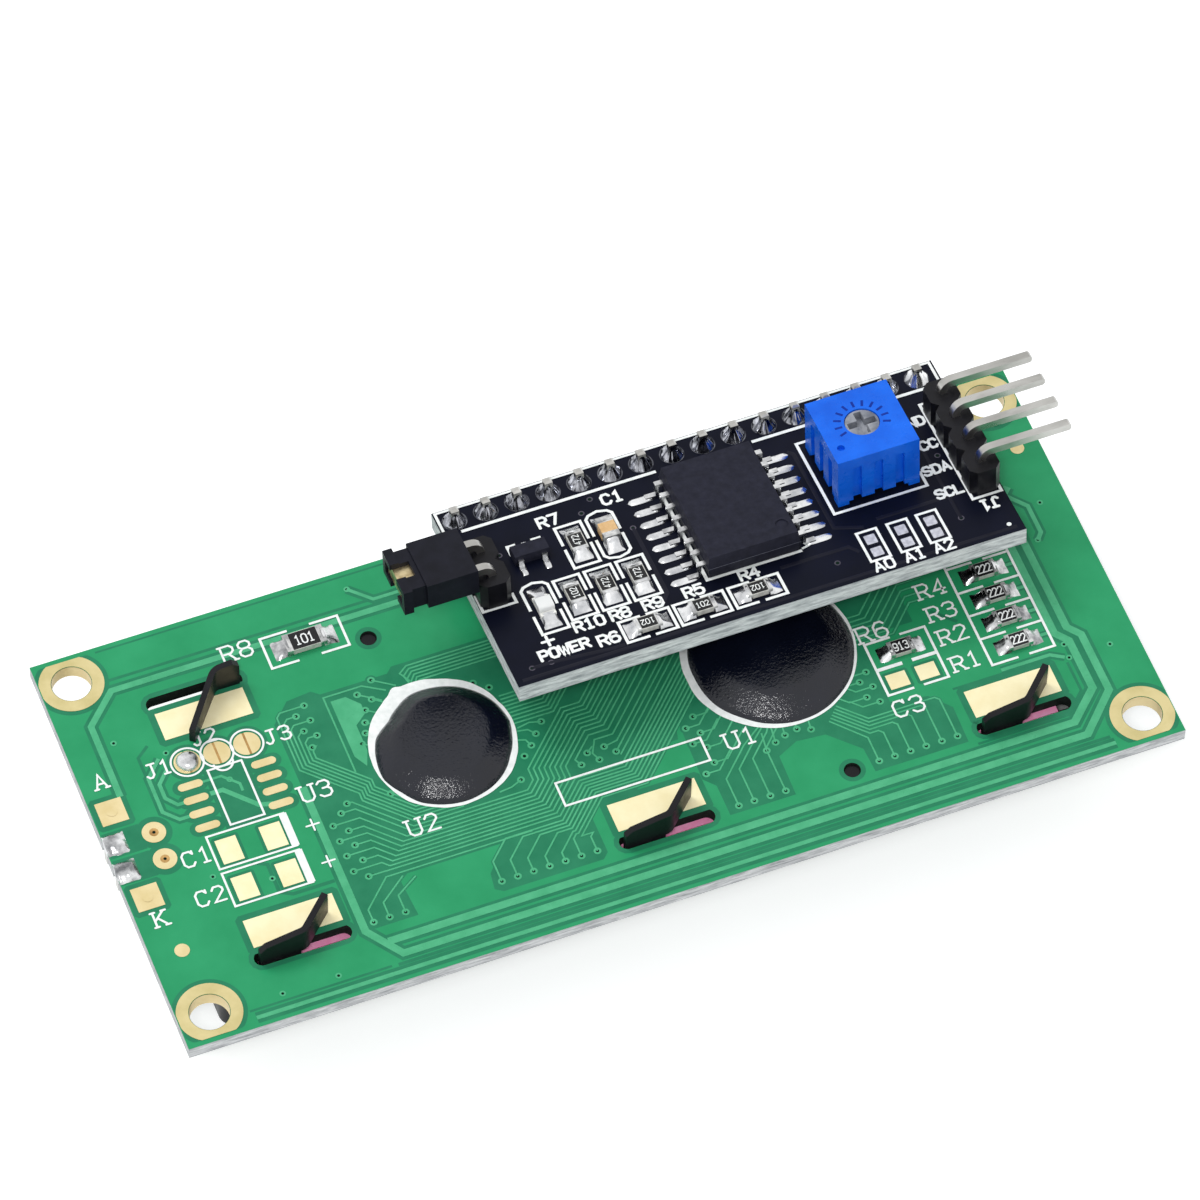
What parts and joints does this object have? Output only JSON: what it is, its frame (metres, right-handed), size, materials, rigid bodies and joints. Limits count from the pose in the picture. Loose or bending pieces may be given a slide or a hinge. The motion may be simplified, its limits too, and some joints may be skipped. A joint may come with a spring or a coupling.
{
  "type": "lcd display module",
  "caption": "Character display module with a black sheet-metal bezel, a green driver board and a small black adapter board with trimmer and jumper on its header.",
  "frame": {"origin": "centre of the four mounting holes, on the component face of the display board", "axes": "+X along the board's long side towards the adapter board's bus pins, +Y towards the header edge, +Z out of the component side; the display faces -Z"},
  "size_m": [0.08, 0.036, 0.0189],
  "materials": {
    "board_green": "solder mask, satin",
    "board_black": "solder mask, satin",
    "bezel_black": "black sheet metal, satin",
    "polariser": "smooth tinted film",
    "display_glass": "polished",
    "white_plastic": "matt white",
    "clear_plastic": "clear acrylic",
    "pink_rubber": "matt pink",
    "resin_black": "poured resin, satin",
    "package_black": "moulded, fine grain",
    "header_black": "moulded, satin",
    "tinned_metal": "tinned, bright",
    "gold_metal": "gold flashed",
    "solder": "reflowed solder",
    "chip_black": "glazed chip body with tinned ends",
    "chip_tan": "ceramic chip with tinned ends",
    "trimmer_blue": "moulded, satin",
    "rotor_grey": "moulded, matt",
    "ceramic_white": "ceramic",
    "lamp_lens": "clear resin"
  },
  "bodies": {
    "module": {"adapter_board": "board_black", "adapter_capacitor_c1": "chip_tan", "adapter_resistor_r10": "chip_black", "adapter_resistor_r4": "chip_black", "adapter_resistor_r5": "chip_black", "adapter_resistor_r6": "chip_black", "adapter_resistor_r7": "chip_black", "adapter_resistor_r8": "chip_black", "adapter_resistor_r9": "chip_black", "backlight_tray": "white_plastic", "bezel": "bezel_black", "bus_header_housing": "header_black", "bus_header_pins": "tinned_metal", "contact_strip_lower": "pink_rubber", "contact_strip_upper": "pink_rubber", "diffuser_film": "white_plastic", "display_resistor_r1": "chip_black", "display_resistor_r2": "chip_black", "display_resistor_r3": "chip_black", "display_resistor_r4": "chip_black", "display_resistor_r5": "chip_black", "display_resistor_r6": "chip_black", "display_resistor_r8": "chip_black", "driver_dome_u1": "resin_black", "driver_dome_u2": "resin_black", "edge_solder": "solder", "expander_chip_body": "package_black", "expander_chip_leads": "tinned_metal", "front_glass": "display_glass", "front_polariser": "polariser", "header_housing": "header_black", "header_pins": "tinned_metal", "header_solder_adapter": "solder", "header_solder_display": "solder", "jumper_header_housing": "header_black", "jumper_header_pins": "tinned_metal", "lamp_board": "board_black", "lamp_leads": "tinned_metal", "lcd_board": "board_green", "light_guide": "clear_plastic", "link_solder_ball": "solder", "power_lamp_base": "ceramic_white", "power_lamp_lens": "lamp_lens", "rear_glass": "display_glass", "rear_polariser": "polariser", "transistor_body": "package_black", "transistor_leads": "tinned_metal", "trimmer_body": "trimmer_blue", "trimmer_pins": "tinned_metal", "trimmer_substrate": "ceramic_white", "underside_solder": "solder"},
    "trimmer_rotor": {"trimmer_rotor": "rotor_grey", "trimmer_wiper": "gold_metal"},
    "jumper_cap": {"jumper_cap": "header_black", "jumper_clip": "gold_metal"}
  },
  "joints": [
    {"name": "contrast_trimmer_turn", "type": "hinge", "parent": "module", "child": "trimmer_rotor", "pos_m": [0.02475, 0.01052, 0.00913], "axis": [0, 0.1335, 0.9911], "range_deg": [-130, 130]},
    {"name": "backlight_jumper_slide", "type": "slide", "parent": "module", "child": "jumper_cap", "axis": [-1, 0, 0], "range_m": [0, 0.0065]}
  ]
}
